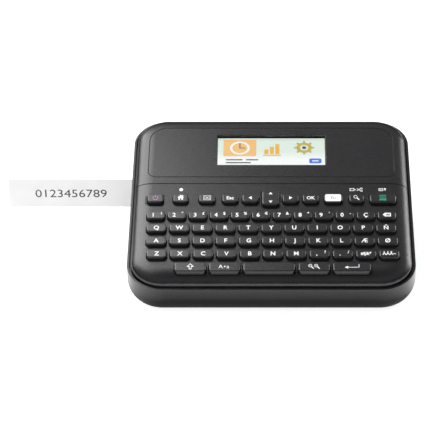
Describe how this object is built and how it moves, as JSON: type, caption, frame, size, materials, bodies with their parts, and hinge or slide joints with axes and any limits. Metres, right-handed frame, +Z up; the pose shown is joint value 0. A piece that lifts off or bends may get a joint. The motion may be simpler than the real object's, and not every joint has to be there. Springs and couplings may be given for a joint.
{
  "type": "label maker",
  "caption": "Desktop label maker with a sloping full keyboard, a colour screen in a hinged rear lid, a tape cassette bay and a printed label leaving its left side.",
  "frame": {"origin": "on the ground under the middle of the casing, between its feet", "axes": "+X to the right, +Y to the back, +Z up; the label leaves towards -X"},
  "size_m": [0.292, 0.1876, 0.0818],
  "materials": {
    "casing_plastic": "fine moulded grain",
    "panel_plastic": "smooth satin sheet",
    "key_plastic": "satin",
    "legend_ink": "pad print on keys and deck",
    "clear_window": "clear gloss",
    "screen": "backlit picture",
    "inner_plastic": "plain moulded",
    "cassette_plastic": "smooth",
    "steel": "stamped",
    "motor_steel": "drawn can",
    "brass": "machined",
    "gear_plastic": "moulded acetal",
    "roller_rubber": "ground",
    "mat_rubber": "moulded silicone",
    "foot_rubber": "moulded",
    "ceramic": "glazed",
    "aluminium": "extruded",
    "label_paper": "coated",
    "ribbon_film": "film",
    "circuit_board": "solder mask",
    "jack_plastic": "moulded",
    "cell_jacket": "printed sleeve",
    "contact_metal": "plated"
  },
  "bodies": {
    "casing": {"base_shell": "casing_plastic", "top_housing": "casing_plastic", "hinge_pins": "steel", "key_mat": "mat_rubber", "keyboard_board": "circuit_board", "cassette_bay": "inner_plastic", "print_chassis": "steel", "feed_motor": "motor_steel", "thermal_head": "ceramic", "head_heatsink": "aluminium", "cassette_case": "cassette_plastic", "tape_strip": "label_paper", "fixed_blade": "steel", "cutter_motor": "motor_steel", "exit_guide": "casing_plastic", "main_board": "circuit_board", "usb_port": "steel", "dc_jack": "jack_plastic", "aa_cells": "cell_jacket", "battery_contacts": "contact_metal", "rubber_feet": "foot_rubber", "casing_screws": "steel"},
    "lid": {"lid_shell": "casing_plastic", "screen_panel": "panel_plastic", "screen_lens": "clear_window", "lcd_module": "screen", "lid_liner": "inner_plastic"},
    "holder": {"roller_holder": "inner_plastic"},
    "platen": {"platen_roller": "roller_rubber", "platen_gear": "gear_plastic"},
    "motor_gear": {"motor_pinion": "brass"},
    "first_idler": {"idler_gear_a": "gear_plastic"},
    "second_idler": {"idler_gear_b": "gear_plastic"},
    "ribbon_winder": {"ribbon_spindle": "gear_plastic", "ribbon_spool": "ribbon_film"},
    "roll": {"tape_roll": "label_paper"},
    "lever": {"cutter_lever": "steel"},
    "lever_drive": {"cutter_pinion": "brass"},
    "battery_door": {"battery_cover": "casing_plastic"},
    "label": {"label_strip": "label_paper"},
    "key_power": {"key_power": "key_plastic"},
    "key_home": {"key_home": "key_plastic"},
    "key_layout": {"key_layout": "key_plastic"},
    "key_escape": {"key_escape": "key_plastic"},
    "key_left": {"key_left": "key_plastic"},
    "key_up_down": {"key_up_down": "key_plastic"},
    "key_right": {"key_right": "key_plastic"},
    "key_ok": {"key_ok": "key_plastic"},
    "key_function": {"key_function": "key_plastic"},
    "key_preview": {"key_preview": "key_plastic"},
    "key_print": {"key_print": "key_plastic"},
    "key_shift": {"key_shift": "key_plastic"},
    "key_caps": {"key_caps": "key_plastic"},
    "key_space": {"key_space": "key_plastic"},
    "key_zoom": {"key_zoom": "key_plastic"},
    "key_enter": {"key_enter": "key_plastic"},
    "keys_letters_low": {"keys_letters_low": "key_plastic"},
    "keys_letters_middle": {"keys_letters_middle": "key_plastic"},
    "keys_letters_high": {"keys_letters_high": "key_plastic"},
    "keys_numbers": {"keys_numbers": "key_plastic"}
  },
  "joints": [
    {"name": "lid_hinge", "type": "hinge", "parent": "casing", "child": "lid", "pos_m": [0, 0.06689, 0.07572], "axis": [-1, 0, 0], "range_deg": [0, 75]},
    {"name": "holder_hinge", "type": "hinge", "parent": "casing", "child": "holder", "pos_m": [-0.042, 0.0178, 0.02755], "axis": [0, -0.1736, 0.9848], "range_deg": [0, 8]},
    {"name": "first_idler_spin", "type": "hinge", "parent": "casing", "child": "first_idler", "pos_m": [-0.04121, 0.03163, 0.02999], "axis": [0, -0.1736, 0.9848], "continuous": true},
    {"name": "platen_spin", "type": "hinge", "parent": "holder", "child": "platen", "pos_m": [-0.062, 0.02243, 0.02837], "axis": [0, -0.1736, 0.9848], "continuous": true},
    {"name": "motor_spin", "type": "hinge", "parent": "casing", "child": "motor_gear", "pos_m": [-0.02635, 0.01845, 0.02766], "axis": [0, -0.1736, 0.9848], "continuous": true},
    {"name": "second_idler_spin", "type": "hinge", "parent": "casing", "child": "second_idler", "pos_m": [-0.05825, 0.04338, 0.03206], "axis": [0, -0.1736, 0.9848], "continuous": true},
    {"name": "ribbon_spin", "type": "hinge", "parent": "casing", "child": "ribbon_winder", "pos_m": [-0.04745, 0.0618, 0.03531], "axis": [0, -0.1736, 0.9848], "continuous": true},
    {"name": "roll_spin", "type": "hinge", "parent": "casing", "child": "roll", "pos_m": [-0.0215, 0.05079, 0.03337], "axis": [0, -0.1736, 0.9848], "continuous": true},
    {"name": "lever_hinge", "type": "hinge", "parent": "casing", "child": "lever", "pos_m": [0, 0.02226, 0.01666], "axis": [-1, 0, 0], "range_deg": [0, 13]},
    {"name": "lever_drive_spin", "type": "hinge", "parent": "casing", "child": "lever_drive", "pos_m": [0, 0.00966, 0.01444], "axis": [1, 0, 0], "range_deg": [0, 28.6]},
    {"name": "battery_door_hinge", "type": "hinge", "parent": "casing", "child": "battery_door", "pos_m": [0, -0.07154, 0.0025], "axis": [-1, 0, 0], "range_deg": [0, 60]},
    {"name": "label_slide", "type": "slide", "parent": "casing", "child": "label", "axis": [-1, 0, 0], "range_m": [0, 0.025]},
    {"name": "key_power_press", "type": "slide", "parent": "casing", "child": "key_power", "axis": [0, 0.309, -0.9511], "range_m": [0, 0.0012], "stiffness_N_per_m": 450, "springref_m": -0.0004},
    {"name": "key_home_press", "type": "slide", "parent": "casing", "child": "key_home", "axis": [0, 0.309, -0.9511], "range_m": [0, 0.0012], "stiffness_N_per_m": 450, "springref_m": -0.0004},
    {"name": "key_layout_press", "type": "slide", "parent": "casing", "child": "key_layout", "axis": [0, 0.309, -0.9511], "range_m": [0, 0.0012], "stiffness_N_per_m": 450, "springref_m": -0.0004},
    {"name": "key_escape_press", "type": "slide", "parent": "casing", "child": "key_escape", "axis": [0, 0.309, -0.9511], "range_m": [0, 0.0012], "stiffness_N_per_m": 450, "springref_m": -0.0004},
    {"name": "key_left_press", "type": "slide", "parent": "casing", "child": "key_left", "axis": [0, 0.309, -0.9511], "range_m": [0, 0.0012], "stiffness_N_per_m": 450, "springref_m": -0.0004},
    {"name": "key_up_down_press", "type": "slide", "parent": "casing", "child": "key_up_down", "axis": [0, 0.309, -0.9511], "range_m": [0, 0.0012], "stiffness_N_per_m": 450, "springref_m": -0.0004},
    {"name": "key_right_press", "type": "slide", "parent": "casing", "child": "key_right", "axis": [0, 0.309, -0.9511], "range_m": [0, 0.0012], "stiffness_N_per_m": 450, "springref_m": -0.0004},
    {"name": "key_ok_press", "type": "slide", "parent": "casing", "child": "key_ok", "axis": [0, 0.309, -0.9511], "range_m": [0, 0.0012], "stiffness_N_per_m": 450, "springref_m": -0.0004},
    {"name": "key_function_press", "type": "slide", "parent": "casing", "child": "key_function", "axis": [0, 0.309, -0.9511], "range_m": [0, 0.0012], "stiffness_N_per_m": 450, "springref_m": -0.0004},
    {"name": "key_preview_press", "type": "slide", "parent": "casing", "child": "key_preview", "axis": [0, 0.309, -0.9511], "range_m": [0, 0.0012], "stiffness_N_per_m": 450, "springref_m": -0.0004},
    {"name": "key_print_press", "type": "slide", "parent": "casing", "child": "key_print", "axis": [0, 0.309, -0.9511], "range_m": [0, 0.0012], "stiffness_N_per_m": 450, "springref_m": -0.0004},
    {"name": "key_shift_press", "type": "slide", "parent": "casing", "child": "key_shift", "axis": [0, 0.309, -0.9511], "range_m": [0, 0.0012], "stiffness_N_per_m": 450, "springref_m": -0.0004},
    {"name": "key_caps_press", "type": "slide", "parent": "casing", "child": "key_caps", "axis": [0, 0.309, -0.9511], "range_m": [0, 0.0012], "stiffness_N_per_m": 450, "springref_m": -0.0004},
    {"name": "key_space_press", "type": "slide", "parent": "casing", "child": "key_space", "axis": [0, 0.309, -0.9511], "range_m": [0, 0.0012], "stiffness_N_per_m": 450, "springref_m": -0.0004},
    {"name": "key_zoom_press", "type": "slide", "parent": "casing", "child": "key_zoom", "axis": [0, 0.309, -0.9511], "range_m": [0, 0.0012], "stiffness_N_per_m": 450, "springref_m": -0.0004},
    {"name": "key_enter_press", "type": "slide", "parent": "casing", "child": "key_enter", "axis": [0, 0.309, -0.9511], "range_m": [0, 0.0012], "stiffness_N_per_m": 450, "springref_m": -0.0004},
    {"name": "keys_letters_low_press", "type": "slide", "parent": "casing", "child": "keys_letters_low", "axis": [0, 0.309, -0.9511], "range_m": [0, 0.0012], "stiffness_N_per_m": 1500, "springref_m": -0.0004},
    {"name": "keys_letters_middle_press", "type": "slide", "parent": "casing", "child": "keys_letters_middle", "axis": [0, 0.309, -0.9511], "range_m": [0, 0.0012], "stiffness_N_per_m": 1500, "springref_m": -0.0004},
    {"name": "keys_letters_high_press", "type": "slide", "parent": "casing", "child": "keys_letters_high", "axis": [0, 0.309, -0.9511], "range_m": [0, 0.0012], "stiffness_N_per_m": 1500, "springref_m": -0.0004},
    {"name": "keys_numbers_press", "type": "slide", "parent": "casing", "child": "keys_numbers", "axis": [0, 0.309, -0.9511], "range_m": [0, 0.0012], "stiffness_N_per_m": 1500, "springref_m": -0.0004}
  ],
  "couplings": [
    {"joint": "holder_hinge", "follows": "lid_hinge", "ratio": 0.10667},
    {"joint": "motor_spin", "follows": "first_idler_spin", "ratio": -4},
    {"joint": "second_idler_spin", "follows": "first_idler_spin", "ratio": -0.3},
    {"joint": "platen_spin", "follows": "first_idler_spin", "ratio": 0.85714},
    {"joint": "ribbon_spin", "follows": "first_idler_spin", "ratio": 0.85714},
    {"joint": "roll_spin", "follows": "first_idler_spin", "ratio": -0.2594},
    {"joint": "lever_drive_spin", "follows": "lever_hinge", "ratio": 2.2}
  ]
}
